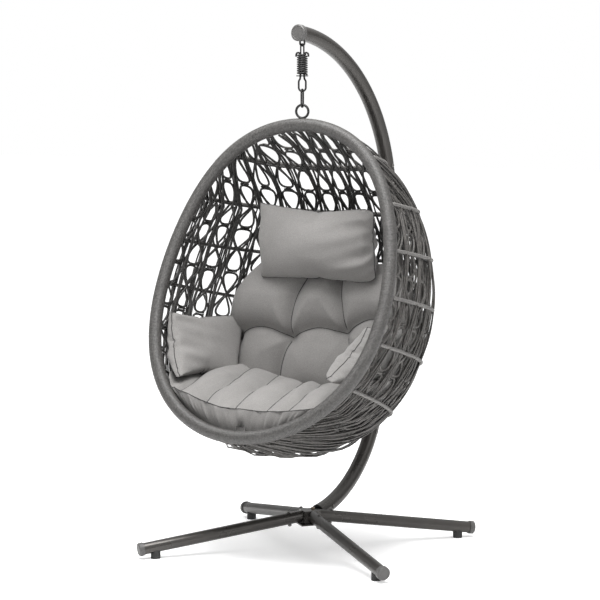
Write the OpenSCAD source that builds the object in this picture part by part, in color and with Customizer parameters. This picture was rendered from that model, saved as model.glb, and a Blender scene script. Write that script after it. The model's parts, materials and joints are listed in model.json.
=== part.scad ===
// Hanging egg chair: a wicker basket with cushions, hung by a spring and a chain link
// from a bent tube post on a four-legged cross base. Millimetres, +Z up, seat facing -Y.

/* [Cross base] */
// Height of the leg tubes' centre lines at the hub
hub_z = 128; // [122:1:150]
// Height of a leg's centre line at its end
leg_end_z = 35.7; // [32:0.1:50]
// Plan length of a leg from the hub's centre to the end of its tube
leg_reach = 661; // [580:1:760]
// Angle between the chair's centre line and each leg
leg_splay = 47.2; // [44:0.1:50]
// Turn of the cross under the chair
cross_turn = 11; // [6:1:14]
// Outer diameter of the leg tubes
leg_d = 44; // [40:1:46]
// Wall of the leg tubes
leg_wall = 2; // [1.5:0.1:3]
// Distance of a foot pad from the end of its leg
foot_inset = 60; // [45:1:120]
// Diameter of the foot pads
foot_d = 36; // [28:1:40]
// Distance of the leg bolts from the hub's centre
leg_bolt_x = 84; // [76:1:100]

/* [Post] */
// Outer diameter of the post tubes
post_d = 55.4; // [50:0.1:58]
// Wall of the post tubes
post_wall = 2.5; // [2:0.1:3]
// Distance behind the hub's centre at which the post's centre line begins
post_root_y = 28.9; // [24:0.1:34]
// Slope of the post's centre line where it begins
post_root_slope = 5.5; // [4:0.1:8]
// Bend radius of the lower tube
bend_lower_r = 481.5; // [470:0.5:500]
// Bend angle of the lower tube
bend_lower_a = 62.45; // [61:0.05:63.5]
// Bend radius of the middle tube
bend_middle_r = 1730; // [1650:5:1800]
// Bend angle of the middle tube
bend_middle_a = 32.43; // [31.5:0.05:33]
// Bend radius of the upper tube
bend_upper_r = 665.4; // [650:0.5:680]
// Bend angle of the upper tube
bend_upper_a = 75.14; // [74:0.05:77]
// Length of the sleeves inside the post's two joints
sleeve_len = 130; // [100:1:180]

/* [Suspension] */
// Distance of the hanging line in front of the hub's centre
hang_y = 50; // [45:1:55]
// Turn of the spring, the link and the ring about the hanging line
hang_turn = 14.5; // [0:0.5:20]
// Wire diameter of the hanger under the arm
hanger_wire_d = 7; // [6:0.5:8]
// Wire diameter of the upper draw bar
upper_wire_d = 5.5; // [5:0.1:6]
// Wire diameter of the lower draw bar
lower_wire_d = 7; // [6:0.1:7.2]
// Wire diameter of the spring
coil_wire_d = 6; // [5:0.1:6.2]
// Outer diameter of the spring
coil_d = 41; // [40:0.5:46]
// Length of the spring
coil_len = 79; // [70:1:90]
// Turns of the spring
coil_turns = 9; // [7:0.5:10]
// Wire diameter of the chain link
link_wire_d = 6.5; // [6:0.1:7]
// Clear width inside the chain link
link_gap = 13; // [12.5:0.1:15]
// Wire diameter of the basket's ring
ring_wire_d = 9; // [8:0.5:10]
// Outer diameter of the basket's ring
ring_d = 57; // [52:1:64]

/* [Basket] */
// Drop from the underside of the arm to the rim's tube centre at the top
hang_drop = 307.3; // [300:0.1:330]
// Length of the rim's outline from top to bottom, along its slope
rim_h = 1188.5; // [1140:0.5:1230]
// Half width of the rim's outline
rim_w = 526.9; // [490:0.1:550]
// Lean of the rim's plane from the vertical
rim_lean = 21.1; // [19:0.1:23]
// Diameter of the wound rim
rim_d = 48.2; // [44:0.1:52]
// Depth of the basket behind its rim
basket_depth = 575; // [540:1:600]
// Diameter of the hoops
hoop_d = 8; // [7:0.5:12]
// Depth of the first hoop below the rim's top, along the slope
hoop_first = 120; // [110:1:135]
// Distance between hoops, along the slope
hoop_pitch = 168; // [160:1:175]
// Diameter of the woven strands
strand_d = 6; // [5:0.5:7]
// Columns of loops round the basket
weave_columns = 14; // [10:1:16]

/* [Cushions] */
// Thickness of the seat cushion
seat_t = 185; // [140:1:210]
// Thickness of the back cushion behind the sitter
back_t = 185; // [130:1:210]
// Thickness of the back cushion behind the headrest
back_top_t = 60; // [40:1:90]
// Thickness of the headrest pillow
headrest_t = 120; // [80:1:140]
// Thickness of the arm pillows
arm_t = 110; // [80:1:140]

/* [Hidden] */
$fn = 48;

// Clearance between pieces that seat on each other
fit = 0.3;

// ---- Cross base ----
leg_r = leg_d / 2;
leg_in_r = leg_r - leg_wall;
leg_pitch = atan((hub_z - leg_end_z) / leg_reach);
leg_len = leg_reach / cos(leg_pitch);
front_left = 270 - leg_splay;
front_right = 270 + leg_splay;
back_left = 90 + leg_splay;
back_right = 90 - leg_splay;
core_half = leg_r * 1.5;
core_top = hub_z + leg_r - core_half * tan(leg_pitch);
plate_half = core_half + 17;
plate_t = 5;
plate_top = hub_z - leg_r / cos(leg_pitch) - plate_half * tan(leg_pitch) - fit;
spigot_len = 120;
cap_skirt = 14;
cap_wall = 3;
cap_end = 6;
bolt_d = 8;
bolt_head_d = 14;
bolt_head_h = 4.5;
nut_d = 13;
nut_h = 6;
bolt_play = 0.5;
centre_bolt_y = 20;

// ---- Post: three arcs in the plane x = 0, as [y, z] points and headings ----
post_r = post_d / 2;
post_in_r = post_r - post_wall;
post_trim = 2.6;
head_0 = post_root_slope;
head_1 = head_0 + bend_lower_a;
head_2 = head_1 + bend_middle_a;
head_3 = head_2 + bend_upper_a;
function turn_centre(p, h, r) = p + r * [-sin(h), cos(h)];
function turn_end(c, h, r) = c + r * [sin(h), -cos(h)];
root = [post_root_y, hub_z - 1];
centre_1 = turn_centre(root, head_0, bend_lower_r);
join_1 = turn_end(centre_1, head_1, bend_lower_r);
centre_2 = turn_centre(join_1, head_1, bend_middle_r);
join_2 = turn_end(centre_2, head_2, bend_middle_r);
centre_3 = turn_centre(join_2, head_2, bend_upper_r);
arm_end = turn_end(centre_3, head_3, bend_upper_r);
sleeve_wall = 3;
sleeve_r = post_in_r - 1.5;
sleeve_low_r = 2 / (1 / bend_lower_r + 1 / bend_middle_r);
sleeve_high_r = 2 / (1 / bend_upper_r + 1 / bend_middle_r);
post_spigot_a = 13;
post_bolt_a = 10.5;
sleeve_bolt_s = 40;
arm_cap_wall = 3;

// ---- Whole part stands with its box centred on the origin ----
back_y = centre_2[0] + bend_middle_r + post_r;
leg_dir_y = -cos(leg_pitch) * cos(leg_splay - cross_turn);
cap_r = leg_r + cap_wall;
front_y = (leg_len + cap_end - 4) * leg_dir_y - cap_r * sqrt(1 - leg_dir_y * leg_dir_y);
shift_y = -(back_y + front_y) / 2;

// ---- Suspension, from the arm down ----
arm_hang_a = asin((-hang_y - centre_3[0]) / bend_upper_r);
arm_under_z = centre_3[1] + bend_upper_r * cos(arm_hang_a) - post_r;
rim_top_z = arm_under_z - hang_drop;
hanger_half = 10;
hanger_drop = 17;
hanger_r = hanger_wire_d / 2;
hanger_bar_z = arm_under_z - hanger_drop;
upper_r = upper_wire_d / 2;
upper_half = 9.8;
upper_top_z = hanger_bar_z + hanger_r + fit + upper_r;
lower_r = lower_wire_d / 2;
lower_half = 8;
coil_r = coil_wire_d / 2;
coil_mean = coil_d / 2 - coil_r;
coil_top_mean = coil_mean - 1.5;
coil_top_z = hanger_bar_z - 29;
coil_bottom_z = coil_top_z - coil_len;
hook_r = 8;
hook_z = coil_top_z + fit + lower_r - hook_r;
hook_tail = 7;
spring_plate_t = 4;
spring_plate_r = coil_d / 2 + 1.5;
loop_half = 14;
sway_r = 12;
sway_a = acos(1 - (loop_half - lower_half) / (2 * sway_r));
sway_h = 2 * sway_r * sin(sway_a);
sway_z = coil_bottom_z - spring_plate_t - 5;
ring_r = ring_wire_d / 2;
ring_mean = ring_d / 2 - ring_r;
ring_z = rim_top_z + rim_d / 2 + ring_mean + ring_r - 3;
link_r = link_wire_d / 2;
link_half = link_gap / 2 + link_r;
link_low_z = ring_z + ring_mean - ring_r - fit - link_r;
lower_bar_z = sway_z - sway_h - 20 - loop_half;
link_high_z = lower_bar_z + lower_r + fit + link_r;

// ---- Basket shell ----
rim_r = rim_d / 2;
hoop_r = hoop_d / 2;
strand_r = strand_d / 2;
hoop_count = 6;
rim_rings = 52;
rim_sides = 12;
hoop_sides = 6;
strand_sides = 4;
strand_steps = 5;
rib_steps = 3;
rib_r = strand_r + 1;
shell_power = 3;
hoop_last = hoop_first + (hoop_count - 1) * hoop_pitch;

function unit(v) = v / norm(v);
function rim_width(t) = rim_w * sin(t) * (1 - 0.0324 * cos(t) + 0.0472 * cos(2 * t) + 0.0168 * cos(3 * t));
function rim_bow(u) = 23.1 * pow(u / 450, 2);
function rim_turn(v) = acos(1 - 2 * v / rim_h);
// Point of the rim's centre line: side is 1 or -1, v is the depth along the slope
function rim_side(u, v) = [
    u,
    -hang_y - sin(rim_lean) * v + cos(rim_lean) * rim_bow(u),
    rim_top_z - cos(rim_lean) * v - sin(rim_lean) * rim_bow(u)
];
function rim_point(t) = rim_side(rim_width(t), rim_h / 2 * (1 - cos(t)));
rim_normal = [0, cos(rim_lean), -sin(rim_lean)];
rim_path = [for (i = [0:rim_rings]) rim_point(i * 360 / rim_rings)];

// Depth of the shell behind the rim, and slope of a hoop, at the share s of the rim's length
function shell_depth(s) = basket_depth * pow(s, 0.67) * pow(1 - s, 0.39) / (pow(0.632, 0.67) * pow(0.368, 0.39));
function hoop_slope(s) = 6.4 + 21 * s * s + 13 * pow(1 - s, 6);
function shell_reach(phi, u, d) = pow(
    pow(abs(cos(phi)) / u, shell_power) + pow(sin(phi) / d, shell_power), -1 / shell_power);
function shell_at(v, phi) =
    let (s = v / rim_h, u = rim_width(rim_turn(v)), edge = rim_side(u, v))
    let (r = shell_reach(phi, u, shell_depth(s)), b = hoop_slope(s))
    [r * cos(phi), edge[1] + r * sin(phi) * cos(b), edge[2] - r * sin(phi) * sin(b)];
function shell_out(v, phi) = unit(cross(
    shell_at(min(v + 1, rim_h - 0.1), phi) - shell_at(max(v - 1, 0.1), phi),
    shell_at(v, phi + 0.4) - shell_at(v, phi - 0.4)));

// Nearest point of the rim's centre line, and the distance to it
function span_near(p, a, b) = a + max(0, min(1, (p - a) * (b - a) / ((b - a) * (b - a)))) * (b - a);
function rim_gap(p) = min([for (i = [0:rim_rings - 1]) norm(p - span_near(p, rim_path[i], rim_path[i + 1]))]);
function rim_near(p) = let (
    spots = [for (i = [0:rim_rings - 1]) span_near(p, rim_path[i], rim_path[i + 1])],
    gaps = [for (q = spots) norm(p - q)])
    spots[search(min(gaps), gaps)[0]];
// The point p moved along its line to the rim until a tip of radius r clears the rim's surface
function on_rim(p, r) = let (c = rim_near(p)) c + (rim_r + fit + r) * unit(p - c);

// ---- Sweeps ----
// Ring of n points round c, square to the direction t, with one axis square to the vector up
function ring_of(c, t, up, r, n) =
    let (a = unit(cross(up, t)), b = unit(cross(t, a)))
    [for (j = [0:n - 1]) c + r * (cos(j * 360 / n + 180 / n) * a + sin(j * 360 / n + 180 / n) * b)];
function tube_faces(rings, n, base) = concat(
    [for (i = [0:rings - 2]) for (j = [0:n - 1])
        [base + i * n + j, base + i * n + (j + 1) % n, base + (i + 1) * n + (j + 1) % n, base + (i + 1) * n + j]],
    [[for (j = [n - 1:-1:0]) base + j]],
    [[for (j = [0:n - 1]) base + (rings - 1) * n + j]]);
function loop_faces(rings, n) = [for (i = [0:rings - 1]) for (j = [0:n - 1])
    [i * n + j, i * n + (j + 1) % n, (i + 1) % rings * n + (j + 1) % n, (i + 1) % rings * n + j]];
function flat(lists) = [for (l = lists) for (p = l) p];

// Hoop: stops at the rim with every corner of its end clear of it
function hoop_dir(v, phi) = unit(shell_at(v, phi + 0.4) - shell_at(v, phi - 0.4));
function hoop_ring(v, phi) = ring_of(shell_at(v, phi), hoop_dir(v, phi), shell_out(v, 90), hoop_r, hoop_sides);
function hoop_clear(v, phi) = min([for (p = hoop_ring(v, phi)) rim_gap(p)]) - rim_r - fit;
function hoop_start(v, lo, hi, n) = n == 0 ? hi
    : let (m = (lo + hi) / 2) hoop_clear(v, m) > 0 ? hoop_start(v, lo, m, n - 1) : hoop_start(v, m, hi, n - 1);

// Woven strand: one of a pair that makes two loops in each bay between hoops
column_pitch = 180 / weave_columns;
tip_r = 0.5;
function inside(v) = max(0.2, min(rim_h - 0.2, v));
function unphase(q) = inside(
    q < 0 ? (q + 1) * hoop_first
    : q > hoop_count - 1 ? hoop_last + (q - hoop_count + 1) * (rim_h - hoop_last)
    : hoop_first + q * hoop_pitch);
function flare(v) = let (s = v / rim_h) min(1.25, 1 + 0.012 / s + 0.004 / (1 - s));
function spread(a, v) = max(0.5, min(179.5, 90 + (a - 90) * flare(v)));
// Lift of the strands over the ribs where they all crowd together at the two ends of the basket
pole_lift = 7;
function pole(v) = max(0, 1 - min(v, rim_h - v) / 60);
function strand_at(j, side, q) = let (
    v = unphase(q),
    edge = j == 0 ? 0.15 : j == weave_columns - 1 ? -0.15 : 0,
    swing = edge == 0 ? 0.36 : 0.1,
    w = edge + side * swing * sin(180 * q) * (1 + 0.88 * cos(360 * q)),
    phi = spread((j + 0.5 + w) * column_pitch, v))
    shell_at(v, phi) + (side * cos(180 * q) * (hoop_r + strand_r + fit) + pole_lift * pole(v)) * shell_out(v, phi);
// Rib: a thicker strand between two columns, inside the hoops; v is its place along the slope
function rib_at(k, v) = let (phi = spread(k * column_pitch, v))
    shell_at(inside(v), phi) - (hoop_r + rib_r + fit) * shell_out(inside(v), phi);
// Follows the path at() from q in steps until a strand of radius r would touch the rim
function run_to_rim(at, q, step, r, stop) =
    rim_gap(at(q)) < rim_r + r + 4 * fit ? q - step
    : abs(q - stop) < abs(step) ? q
    : run_to_rim(at, q + step, step, r, stop);
// Rings of a strand along at(), with a tapered tip on the rim at both ends
function strand_rings(at, qs, dq, up, r) = let (n = len(qs) - 1)
    [each ring_of(on_rim(at(qs[0] - 0.6 * dq), tip_r), at(qs[0]) - at(qs[0] - dq), up(qs[0]), tip_r, strand_sides),
    for (q = qs) each ring_of(at(q), at(q + dq) - at(q - dq), up(q), r, strand_sides),
    each ring_of(on_rim(at(qs[n] + 0.6 * dq), tip_r), at(qs[n] + dq) - at(qs[n]), up(qs[n]), tip_r, strand_sides)];

// Separate closed tubes in one polyhedron
module tubes(strands, n) {
    bases = [for (k = 0, b = 0; k < len(strands); b = b + len(strands[k]), k = k + 1) b];
    polyhedron(
        points = flat(strands),
        faces = flat([for (k = [0:len(strands) - 1]) tube_faces(len(strands[k]) / n, n, bases[k])]),
        convexity = 10);
}

// ---- Cushion places on the wall ----
cushion_grid = 8;
wall_inset = hoop_r + 2 * rib_r + 2 * fit + 3;
cushion_gap = 8;
seat_v = 880;
seat_side_v = 975;
seat_front_v = rim_h - 45;
seat_phi = 14;
seat_eye = [0, -hang_y - 280, rim_top_z - 492.7];
back_v = 400;
back_phi = 48;
back_eye = [0, -hang_y - 550, rim_top_z - 642.7];
back_hollow = 75;
headrest_seat = -8.4;
headrest_v = 270;
headrest_low_v = 510;
headrest_phi = 62;
arm_v = 705;
arm_low_v = 935;
arm_phi = 3.5;
arm_back_phi = 38;
arm_eye = [0, -hang_y - 200, rim_top_z - 772.7];

// ---- Placing ----
module place() {
    translate([0, shift_y, 0]) children();
}
// Children's X axis runs down the leg, from the hub's centre
module on_leg(a) {
    rotate([0, 0, cross_turn + a])
        translate([0, 0, hub_z])
            rotate([0, leg_pitch, 0])
                children();
}
module rod_x(r, x0, x1) {
    translate([x0, 0, 0])
        rotate([0, 90, 0])
            cylinder(r = r, h = x1 - x0);
}
// Children's plane XY becomes the chair's centre plane YZ
module in_centre_plane() {
    rotate([90, 0, 90]) children();
}
// Children's plane XY stands on the hanging line, turned by a about it
module on_hang_line(a) {
    translate([0, -hang_y, 0])
        rotate([0, 0, a])
            rotate([90, 0, 0])
                children();
}

// ---- Wire pieces, drawn in the plane XY ----
module wire_bend(c, r, a0, a, wire_r) {
    translate([c[0], c[1], 0])
        rotate([0, 0, a0])
            rotate_extrude(angle = a)
                translate([r, 0])
                    circle(r = wire_r);
}
module wire_rod(x, y0, y1, wire_r) {
    translate([x, y0, 0])
        rotate([-90, 0, 0])
            cylinder(r = wire_r, h = y1 - y0);
}

// Points of an arc round c, from angle a0 over the angle a, in n steps
function arc_points(c, r, a0, a, n) = [for (i = [0:n]) c + r * [cos(a0 + a * i / n), sin(a0 + a * i / n)]];

// ---- Fasteners: axis Z, seat at z = 0 ----
module bolt(grip) {
    translate([0, 0, -grip - nut_h - 2])
        cylinder(r = bolt_d / 2, h = grip + nut_h + 3);
    rotate_extrude()
        polygon([
            [0, 0], [bolt_head_d / 2, 0], [bolt_head_d / 2, 1.2],
            [bolt_head_d / 3, bolt_head_h - 1], [bolt_head_d / 6, bolt_head_h], [0, bolt_head_h]
        ]);
}
module nut(grip) {
    translate([0, 0, -grip - nut_h])
        difference() {
            cylinder(r = nut_d / 2 / cos(30), h = nut_h, $fn = 6);
            translate([0, 0, -1])
                cylinder(r = bolt_d / 2 + 0.15, h = nut_h + 2);
        }
}

// ---- Cross base ----
// Rhombus whose sides are square to the four legs
module core_shape(half) {
    front = half / cos(leg_splay);
    side = half / sin(leg_splay);
    rotate([0, 0, cross_turn])
        polygon([[0, front], [side, 0], [0, -front], [-side, 0]]);
}
module leg_envelopes(gap) {
    for (a = [back_left, back_right])
        on_leg(a)
            rod_x(leg_r + gap, 0, 220);
}
module hub() {
    color([0.24, 0.23, 0.21])
        difference() {
            union() {
                translate([0, 0, plate_top - plate_t])
                    linear_extrude(core_top - plate_top + plate_t)
                        core_shape(core_half);
                translate([0, 0, plate_top - plate_t])
                    linear_extrude(plate_t)
                        core_shape(plate_half);
                for (a = [front_left, front_right, back_left, back_right])
                    on_leg(a)
                        rod_x(leg_in_r - fit, core_half - 8, spigot_len);
            }
            for (a = [front_left, front_right, back_left, back_right])
                on_leg(a)
                    translate([leg_bolt_x, 0, -leg_r])
                        cylinder(r = (bolt_d + bolt_play) / 2, h = leg_d);
            translate([0, centre_bolt_y, core_top - 30])
                cylinder(r = (bolt_d + bolt_play) / 2, h = 60);
        }
}
module leg(a) {
    color([0.3, 0.29, 0.27])
        difference() {
            on_leg(a)
                rod_x(leg_r, 0, leg_len);
            on_leg(a)
                rod_x(leg_in_r, -1, leg_len + 1);
            rotate([0, 0, cross_turn + a])
                translate([-leg_d, -leg_d, hub_z - leg_d])
                    cube([leg_d + core_half + fit, 2 * leg_d, 2 * leg_d]);
            on_leg(a)
                translate([leg_bolt_x, 0, -leg_d])
                    cylinder(r = (bolt_d + bolt_play) / 2, h = 2 * leg_d);
        }
}
module end_cap(tube_r, in_r, wall) {
    out_r = tube_r + wall;
    bevel = cap_end * 0.6;
    rotate([0, 90, 0])
        rotate_extrude()
            polygon([
                [0, -20], [in_r - fit, -20], [in_r - fit, fit], [tube_r + fit, fit], [tube_r + fit, -cap_skirt],
                [out_r, -cap_skirt], [out_r, cap_end - bevel], [out_r - bevel, cap_end],
                [out_r - 2 * bevel, cap_end], [out_r - 2 * bevel - 1, cap_end - 1], [0, cap_end - 1]
            ]);
}
module leg_caps() {
    color([0.2, 0.2, 0.19])
        for (a = [front_left, front_right, back_left, back_right])
            on_leg(a)
                translate([leg_len, 0, 0])
                    end_cap(leg_r, leg_in_r, cap_wall);
}
module foot_pads() {
    foot_x = leg_reach - foot_inset;
    foot_h = hub_z - foot_x * tan(leg_pitch) - leg_r * 0.6;
    color([0.1, 0.1, 0.1])
        for (a = [front_left, front_right, back_left, back_right])
            difference() {
                rotate([0, 0, cross_turn + a])
                    translate([foot_x, 0, 0])
                        cylinder(r = foot_d / 2, h = foot_h);
                on_leg(a)
                    rod_x(leg_r + fit, 0, leg_len);
            }
}
module on_leg_bolts() {
    for (a = [front_left, front_right, back_left, back_right])
        on_leg(a)
            translate([leg_bolt_x, 0, leg_r + fit])
                children();
}
module leg_bolts() {
    color([0.35, 0.34, 0.32])
        on_leg_bolts()
            bolt(leg_d + 2 * fit);
}
module leg_nuts() {
    color([0.35, 0.34, 0.32])
        on_leg_bolts()
            nut(leg_d + 2 * fit);
}
module hub_bolt() {
    color([0.6, 0.5, 0.3])
        translate([0, centre_bolt_y, core_top + fit]) {
            cylinder(r = nut_d / 2 / cos(30), h = nut_h, $fn = 6);
            translate([0, 0, -28])
                cylinder(r = bolt_d / 2, h = 30);
        }
}

// ---- Post ----
// Tube or bar along an arc that starts at p with heading h, from angle a0 to a1
module post_arc(p, h, r, a0, a1, out_r, in_r) {
    c = turn_centre(p, h, r);
    in_centre_plane()
        translate([c[0], c[1], 0])
            rotate([0, 0, h - 90 + a0])
                rotate_extrude(angle = a1 - a0)
                    translate([r, 0])
                        difference() {
                            circle(r = out_r);
                            if (in_r > 0)
                                circle(r = in_r);
                        }
}
// Children's Z axis runs across the post, through its centre line at angle a of an arc
module on_arc(c, h, r, a) {
    in_centre_plane()
        translate([c[0], c[1], 0])
            rotate([0, 0, h - 90 + a])
                translate([r, 0, 0])
                    children();
}
module on_post_lower(a) {
    on_arc(centre_1, head_0, bend_lower_r, a)
        children();
}
// The two bolts of each joint, and the bolt of the hub's spigot
module on_post_bolts() {
    on_post_lower(post_bolt_a)
        children();
    on_arc(centre_1, head_1, bend_lower_r, -sleeve_bolt_s / bend_lower_r * 180 / PI)
        children();
    on_arc(centre_2, head_1, bend_middle_r, sleeve_bolt_s / bend_middle_r * 180 / PI)
        children();
    on_arc(centre_2, head_2, bend_middle_r, -sleeve_bolt_s / bend_middle_r * 180 / PI)
        children();
    on_arc(centre_3, head_2, bend_upper_r, sleeve_bolt_s / bend_upper_r * 180 / PI)
        children();
}
module post_holes() {
    on_post_bolts()
        translate([0, 0, -post_d])
            cylinder(r = (bolt_d + bolt_play) / 2, h = 2 * post_d);
}
// Room that the hub and the two rear legs take at the post's lower end
module root_room() {
    leg_envelopes(fit);
    linear_extrude(core_top + fit)
        core_shape(core_half + fit);
    linear_extrude(plate_top + fit)
        core_shape(plate_half + fit);
}
// Spigot inside the post's lower end, welded to the hub
module post_spigot() {
    color([0.24, 0.23, 0.21])
        difference() {
            post_arc(root, head_0, bend_lower_r, post_trim, post_spigot_a, post_in_r - fit, 0);
            root_room();
            post_holes();
        }
}
module post_lower() {
    color([0.3, 0.29, 0.27])
        difference() {
            post_arc(root, head_0, bend_lower_r, post_trim, bend_lower_a, post_r, post_in_r);
            root_room();
            post_holes();
        }
}
module post_middle() {
    color([0.3, 0.29, 0.27])
        difference() {
            post_arc(join_1, head_1, bend_middle_r, 0, bend_middle_a, post_r, post_in_r);
            post_holes();
        }
}
module post_upper() {
    color([0.3, 0.29, 0.27])
        difference() {
            post_arc(join_2, head_2, bend_upper_r, 0, bend_upper_a, post_r, post_in_r);
            post_holes();
        }
}
module sleeve(p, h, r) {
    half = sleeve_len / 2 / r * 180 / PI;
    color([0.4, 0.4, 0.4])
        difference() {
            post_arc(p, h, r, -half, half, sleeve_r, sleeve_r - sleeve_wall);
            post_holes();
        }
}
module post_sleeve_lower() {
    sleeve(join_1, head_1, sleeve_low_r);
}
module post_sleeve_upper() {
    sleeve(join_2, head_2, sleeve_high_r);
}
module post_bolts() {
    color([0.35, 0.34, 0.32])
        on_post_bolts()
            translate([0, 0, post_r + fit])
                bolt(post_d + 2 * fit);
}
module post_nuts() {
    color([0.35, 0.34, 0.32])
        on_post_bolts()
            translate([0, 0, post_r + fit])
                nut(post_d + 2 * fit);
}
module arm_cap() {
    color([0.2, 0.2, 0.19])
        in_centre_plane()
            translate([arm_end[0], arm_end[1], 0])
                rotate([0, 0, head_3])
                    end_cap(post_r, post_in_r, arm_cap_wall);
}
// Staple welded under the arm
module hanger() {
    color([0.15, 0.15, 0.15])
        on_hang_line(0) {
            wire_bend([0, hanger_bar_z + hanger_half], hanger_half, 180, 180, hanger_r);
            for (s = [-1, 1])
                wire_rod(s * hanger_half, hanger_bar_z + hanger_half, arm_under_z + fit / 2, hanger_r);
        }
}

// ---- Suspension ----
module spring_upper_bar() {
    color([0.15, 0.15, 0.15])
        difference() {
            union() {
                on_hang_line(90) {
                    wire_bend([0, upper_top_z - upper_half], upper_half, 0, 180, upper_r);
                    for (s = [-1, 1])
                        wire_rod(s * upper_half, coil_bottom_z - spring_plate_t - 3, upper_top_z - upper_half, upper_r);
                }
                translate([0, -hang_y, coil_bottom_z - spring_plate_t - fit])
                    cylinder(r = spring_plate_r, h = spring_plate_t);
            }
            on_hang_line(hang_turn)
                for (s = [-1, 1])
                    wire_rod(s * lower_half, coil_bottom_z - 20, coil_bottom_z + 2, lower_r + 0.6);
        }
}
module spring_coil() {
    steps = 10;
    rings = coil_turns * steps;
    rise = coil_len - coil_wire_d;
    function coil_at(i) = let (
        f = i / rings,
        r = coil_mean - (coil_mean - coil_top_mean) * max(0, (f * coil_turns - coil_turns + 2) / 2))
        [r * cos(i * 360 / steps), r * sin(i * 360 / steps), coil_r + f * rise];
    color([0.12, 0.12, 0.12])
        translate([0, -hang_y, coil_bottom_z])
            tubes([[for (i = [0:rings]) each
                ring_of(coil_at(i), coil_at(i + 0.5) - coil_at(i - 0.5), [0, 0, 1], coil_r, 5)]], 5);
}
module spring_lower_bar() {
    low_z = sway_z - sway_h;
    // Right half of the wire, from the hook's tip down to the middle of the loop
    half = concat(
        [[lower_half + 2 * hook_r, hook_z - hook_tail]],
        arc_points([lower_half + hook_r, hook_z], hook_r, 0, 180, 8),
        arc_points([lower_half + sway_r, sway_z], sway_r, 180, sway_a, 3),
        arc_points([loop_half - sway_r, low_z], sway_r, sway_a, -sway_a, 3),
        arc_points([0, lower_bar_z + loop_half], loop_half, 0, -90, 6));
    last = len(half) - 1;
    path = concat(half, [for (i = [last - 1:-1:0]) [-half[i][0], half[i][1]]]);
    n = len(path) - 1;
    color([0.15, 0.15, 0.15])
        on_hang_line(hang_turn)
            tubes([[for (i = [0:n]) each ring_of(
                [path[i][0], path[i][1], 0],
                [each path[min(i + 1, n)] - path[max(i - 1, 0)], 0],
                [0, 0, 1], lower_r, 8)]], 8);
}
module chain_link() {
    color([0.15, 0.15, 0.15])
        on_hang_line(hang_turn + 90) {
            wire_bend([0, link_high_z - link_half], link_half, 0, 180, link_r);
            wire_bend([0, link_low_z + link_half], link_half, 180, 180, link_r);
            for (s = [-1, 1])
                wire_rod(s * link_half, link_low_z + link_half, link_high_z - link_half, link_r);
        }
}

// ---- Basket ----
module basket_ring() {
    color([0.2, 0.2, 0.2])
        difference() {
            on_hang_line(hang_turn)
                translate([0, ring_z, 0])
                    rotate_extrude()
                        translate([ring_mean, 0])
                            circle(r = ring_r);
            translate([-ring_d / 2, -hang_y, rim_top_z])
                rotate([0, 90, 0])
                    cylinder(r = rim_r + fit, h = ring_d);
        }
}
module rim_frame() {
    color([0.47, 0.46, 0.44])
        polyhedron(
            points = flat([for (i = [0:rim_rings - 1])
                ring_of(rim_path[i], rim_path[i + 1] - rim_path[(i + rim_rings - 1) % rim_rings],
                    rim_normal, rim_r, rim_sides)]),
            faces = loop_faces(rim_rings, rim_sides), convexity = 6);
}
module hoop(k) {
    v = hoop_first + (k - 1) * hoop_pitch;
    first = hoop_start(v, 0.2, 40, 14);
    crossings = [
        for (i = [1:2 * weave_columns - 1])
            let (phi = spread(i * column_pitch / 2, v))
                if (phi > first + 3 && phi < 177 - first) phi
    ];
    color([0.16, 0.15, 0.14])
        tubes([flat([for (phi = concat([first], crossings, [180 - first])) hoop_ring(v, phi)])], hoop_sides);
}
module weave_strands() {
    function strand(j, side) = let (
        at = function(q) strand_at(j, side, q),
        up = function(q) shell_out(unphase(q), (j + 0.5) * column_pitch),
        q0 = run_to_rim(at, 2, -0.04, strand_r, -1),
        q1 = run_to_rim(at, 3, 0.04, strand_r, hoop_count),
        mid = [for (i = [ceil(q0 * strand_steps + 0.3):floor(q1 * strand_steps - 0.3)]) i / strand_steps])
        strand_rings(at, concat([q0], mid, [q1]), 0.04, up, strand_r);
    color([0.2, 0.19, 0.17])
        tubes([for (j = [0:weave_columns - 1]) for (side = [-1, 1]) strand(j, side)], strand_sides);
}
module weave_ribs() {
    function rib(k) = let (
        at = function(v) rib_at(k, v),
        up = function(v) shell_out(inside(v), k * column_pitch),
        v0 = run_to_rim(at, 500, -4, rib_r, 4),
        v1 = run_to_rim(at, 700, 4, rib_r, rim_h - 4),
        step = hoop_pitch / rib_steps / 2,
        mid = [
            for (i = [-2 * rib_steps:2 * rib_steps * (hoop_count + 1)])
                let (v = hoop_first + i * step)
                    if (v > v0 + 0.3 * step && v < v1 - 0.3 * step
                        && (i % 2 == 0 || v < hoop_first || v > hoop_last - hoop_pitch)) v
        ])
        strand_rings(at, concat([v0], mid, [v1]), 4, up, rib_r);
    color([0.2, 0.19, 0.17])
        tubes([for (k = [1:weave_columns - 1]) rib(k)], strand_sides);
}

// ---- Cushions: each is a patch of the basket's inner wall, raised towards the sitter ----
// Share of the full thickness at the places f and g from 0 to 1 across the patch
function puff(f, g) = 0.12 + 0.88 * pow(1 - pow(abs(2 * f - 1), 3.2), 0.6) * pow(1 - pow(abs(2 * g - 1), 3.2), 0.6);
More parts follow.
